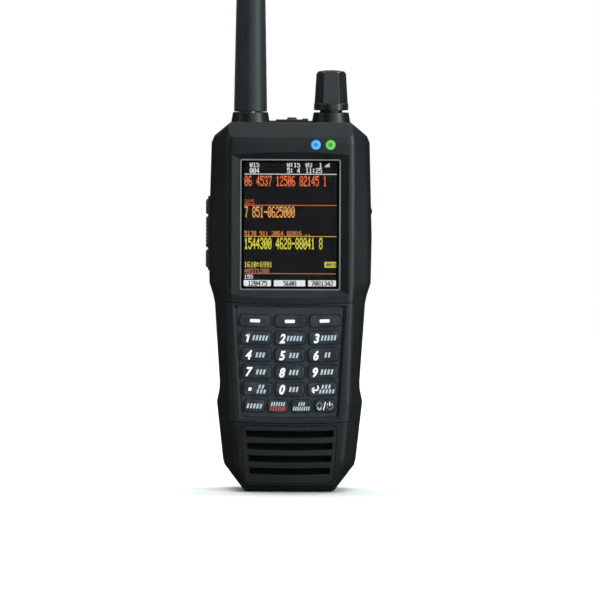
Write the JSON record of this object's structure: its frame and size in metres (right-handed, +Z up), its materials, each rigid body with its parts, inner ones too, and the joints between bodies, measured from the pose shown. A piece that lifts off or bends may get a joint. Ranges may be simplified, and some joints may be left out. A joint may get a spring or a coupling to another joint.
{
  "type": "handheld radio scanner",
  "caption": "Handheld scanner radio with a colour display, keypad, whip antenna, rotary control, slide-off battery pack and sprung belt clip.",
  "frame": {"origin": "centre of the bounding box's underside, where the feet stand, with the belt clip counted in", "axes": "+Z up along the case and the antenna, the keypad and display face -Y, +X is to the right of someone who looks at the display"},
  "size_m": [0.0679, 0.0441, 0.341],
  "materials": {
    "case_plastic": "fine spark texture, near black",
    "inner_plastic": "plain moulded",
    "key_rubber": "satin silicone, dark blue grey",
    "sealing_rubber": "soft matt",
    "antenna_rubber": "satin moulded rubber",
    "knob_rubber": "matt with worn edges",
    "bezel_trim": "light grey printed border",
    "display_window": "clear hard-coated window",
    "display_panel": "colour display module",
    "light_blue": "translucent blue lens",
    "light_green": "translucent green lens",
    "circuit_board": "green solder mask",
    "moulded_black": "moulded socket plastic",
    "gold_plate": "gold plated",
    "spring_steel": "bright spring wire",
    "zinc_steel": "zinc plated",
    "clip_plastic": "tough moulded plastic",
    "cell_wrap": "shrink wrapped cells"
  },
  "bodies": {
    "housing": {"front_case": "case_plastic", "rear_case": "case_plastic", "case_gasket": "sealing_rubber", "keypad_frame": "case_plastic", "speaker_grille": "case_plastic", "display_bezel": "bezel_trim", "display_lens": "display_window", "lcd_panel": "display_panel", "keypad_mat": "key_rubber", "main_board": "circuit_board", "tuner_board": "circuit_board", "speaker": "moulded_black", "led_lens_charge": "light_blue", "led_lens_alert": "light_green", "antenna_socket": "gold_plate", "encoder_body": "moulded_black", "earphone_jack": "moulded_black", "usb_socket": "zinc_steel", "side_key_mat": "key_rubber", "battery_contacts": "gold_plate", "case_screws": "zinc_steel", "clip_bracket": "clip_plastic", "clip_screws": "zinc_steel", "clip_pin": "spring_steel", "clip_spring": "spring_steel"},
    "antenna": {"antenna_sleeve": "antenna_rubber", "antenna_coil": "spring_steel", "antenna_plug": "gold_plate"},
    "rotor": {"encoder_rotor": "zinc_steel"},
    "knob": {"encoder_shaft": "zinc_steel", "knob_cap": "knob_rubber"},
    "earphone_cap": {"earphone_cover": "sealing_rubber"},
    "port_flap": {"port_cover": "sealing_rubber"},
    "battery": {"battery_case": "case_plastic", "battery_lid": "inner_plastic", "battery_cells": "cell_wrap"},
    "latch": {"battery_latch": "inner_plastic"},
    "clip": {"belt_clip": "clip_plastic"},
    "side_key_upper_button": {"side_key_upper": "key_rubber"},
    "side_key_middle_button": {"side_key_middle": "key_rubber"},
    "side_key_lower_button": {"side_key_lower": "key_rubber"},
    "soft_left_button": {"soft_key_left": "key_rubber"},
    "soft_centre_button": {"soft_key_centre": "key_rubber"},
    "soft_right_button": {"soft_key_right": "key_rubber"},
    "key_one_button": {"key_one": "key_rubber"},
    "key_two_button": {"key_two": "key_rubber"},
    "key_three_button": {"key_three": "key_rubber"},
    "key_four_button": {"key_four": "key_rubber"},
    "key_five_button": {"key_five": "key_rubber"},
    "key_six_button": {"key_six": "key_rubber"},
    "key_seven_button": {"key_seven": "key_rubber"},
    "key_eight_button": {"key_eight": "key_rubber"},
    "key_nine_button": {"key_nine": "key_rubber"},
    "key_point_button": {"key_point": "key_rubber"},
    "key_zero_button": {"key_zero": "key_rubber"},
    "key_enter_button": {"key_enter": "key_rubber"},
    "key_function_button": {"key_function": "key_rubber"},
    "key_recall_button": {"key_recall": "key_rubber"},
    "key_store_button": {"key_store": "key_rubber"},
    "key_light_button": {"key_light": "key_rubber"}
  },
  "joints": [
    {"name": "soft_key_left_press", "type": "slide", "parent": "housing", "child": "soft_left_button", "axis": [0, 1, 0], "range_m": [0, 0.0005], "stiffness_N_per_m": 3000, "springref_m": -0.0003},
    {"name": "soft_key_centre_press", "type": "slide", "parent": "housing", "child": "soft_centre_button", "axis": [0, 1, 0], "range_m": [0, 0.0005], "stiffness_N_per_m": 3000, "springref_m": -0.0003},
    {"name": "soft_key_right_press", "type": "slide", "parent": "housing", "child": "soft_right_button", "axis": [0, 1, 0], "range_m": [0, 0.0005], "stiffness_N_per_m": 3000, "springref_m": -0.0003},
    {"name": "key_one_press", "type": "slide", "parent": "housing", "child": "key_one_button", "axis": [0, 1, 0], "range_m": [0, 0.0005], "stiffness_N_per_m": 3000, "springref_m": -0.0003},
    {"name": "key_two_press", "type": "slide", "parent": "housing", "child": "key_two_button", "axis": [0, 1, 0], "range_m": [0, 0.0005], "stiffness_N_per_m": 3000, "springref_m": -0.0003},
    {"name": "key_three_press", "type": "slide", "parent": "housing", "child": "key_three_button", "axis": [0, 1, 0], "range_m": [0, 0.0005], "stiffness_N_per_m": 3000, "springref_m": -0.0003},
    {"name": "key_four_press", "type": "slide", "parent": "housing", "child": "key_four_button", "axis": [0, 1, 0], "range_m": [0, 0.0005], "stiffness_N_per_m": 3000, "springref_m": -0.0003},
    {"name": "key_five_press", "type": "slide", "parent": "housing", "child": "key_five_button", "axis": [0, 1, 0], "range_m": [0, 0.0005], "stiffness_N_per_m": 3000, "springref_m": -0.0003},
    {"name": "key_six_press", "type": "slide", "parent": "housing", "child": "key_six_button", "axis": [0, 1, 0], "range_m": [0, 0.0005], "stiffness_N_per_m": 3000, "springref_m": -0.0003},
    {"name": "key_seven_press", "type": "slide", "parent": "housing", "child": "key_seven_button", "axis": [0, 1, 0], "range_m": [0, 0.0005], "stiffness_N_per_m": 3000, "springref_m": -0.0003},
    {"name": "key_eight_press", "type": "slide", "parent": "housing", "child": "key_eight_button", "axis": [0, 1, 0], "range_m": [0, 0.0005], "stiffness_N_per_m": 3000, "springref_m": -0.0003},
    {"name": "key_nine_press", "type": "slide", "parent": "housing", "child": "key_nine_button", "axis": [0, 1, 0], "range_m": [0, 0.0005], "stiffness_N_per_m": 3000, "springref_m": -0.0003},
    {"name": "key_point_press", "type": "slide", "parent": "housing", "child": "key_point_button", "axis": [0, 1, 0], "range_m": [0, 0.0005], "stiffness_N_per_m": 3000, "springref_m": -0.0003},
    {"name": "key_zero_press", "type": "slide", "parent": "housing", "child": "key_zero_button", "axis": [0, 1, 0], "range_m": [0, 0.0005], "stiffness_N_per_m": 3000, "springref_m": -0.0003},
    {"name": "key_enter_press", "type": "slide", "parent": "housing", "child": "key_enter_button", "axis": [0, 1, 0], "range_m": [0, 0.0005], "stiffness_N_per_m": 3000, "springref_m": -0.0003},
    {"name": "key_function_press", "type": "slide", "parent": "housing", "child": "key_function_button", "axis": [0, 1, 0], "range_m": [0, 0.0005], "stiffness_N_per_m": 3000, "springref_m": -0.0003},
    {"name": "key_recall_press", "type": "slide", "parent": "housing", "child": "key_recall_button", "axis": [0, 1, 0], "range_m": [0, 0.0005], "stiffness_N_per_m": 3000, "springref_m": -0.0003},
    {"name": "key_store_press", "type": "slide", "parent": "housing", "child": "key_store_button", "axis": [0, 1, 0], "range_m": [0, 0.0005], "stiffness_N_per_m": 3000, "springref_m": -0.0003},
    {"name": "key_light_press", "type": "slide", "parent": "housing", "child": "key_light_button", "axis": [0, 1, 0], "range_m": [0, 0.0005], "stiffness_N_per_m": 3000, "springref_m": -0.0003},
    {"name": "side_key_upper_press", "type": "slide", "parent": "housing", "child": "side_key_upper_button", "axis": [1, 0, 0], "range_m": [0, 0.0005], "stiffness_N_per_m": 3000, "springref_m": -0.0003},
    {"name": "side_key_middle_press", "type": "slide", "parent": "housing", "child": "side_key_middle_button", "axis": [1, 0, 0], "range_m": [0, 0.0005], "stiffness_N_per_m": 3000, "springref_m": -0.0003},
    {"name": "side_key_lower_press", "type": "slide", "parent": "housing", "child": "side_key_lower_button", "axis": [1, 0, 0], "range_m": [0, 0.0005], "stiffness_N_per_m": 3000, "springref_m": -0.0003},
    {"name": "knob_turn", "type": "hinge", "parent": "housing", "child": "rotor", "pos_m": [0.0165, -0.0043, 0.15], "axis": [0, 0, 1], "continuous": true},
    {"name": "knob_press", "type": "slide", "parent": "rotor", "child": "knob", "axis": [0, 0, -1], "range_m": [0, 0.0006], "stiffness_N_per_m": 3000, "springref_m": -0.0003},
    {"name": "antenna_turn", "type": "hinge", "parent": "housing", "child": "antenna", "pos_m": [-0.0165, -0.0043, 0.16], "axis": [0, 0, 1], "continuous": true},
    {"name": "earphone_cap_hinge", "type": "hinge", "parent": "housing", "child": "earphone_cap", "pos_m": [0.0005, -0.0001, 0.15145], "axis": [-1, 0, 0], "range_deg": [0, 135]},
    {"name": "port_flap_hinge", "type": "hinge", "parent": "housing", "child": "port_flap", "pos_m": [0.03245, -0.0063, 0.09765], "axis": [0, 1, 0], "range_deg": [0, 90]},
    {"name": "battery_slide", "type": "slide", "parent": "housing", "child": "battery", "axis": [0, 0, -1], "range_m": [0, 0.114]},
    {"name": "latch_slide", "type": "slide", "parent": "battery", "child": "latch", "axis": [0, 0, 1], "range_m": [0, 0.0024], "stiffness_N_per_m": 1500, "springref_m": -0.0003},
    {"name": "clip_hinge", "type": "hinge", "parent": "housing", "child": "clip", "pos_m": [0, 0.0183, 0.124], "axis": [1, 0, 0], "range_deg": [0, 16], "stiffness_Nm_per_rad": 0.35, "springref_deg": -8.59, "deforming": ["clip_spring"]}
  ]
}
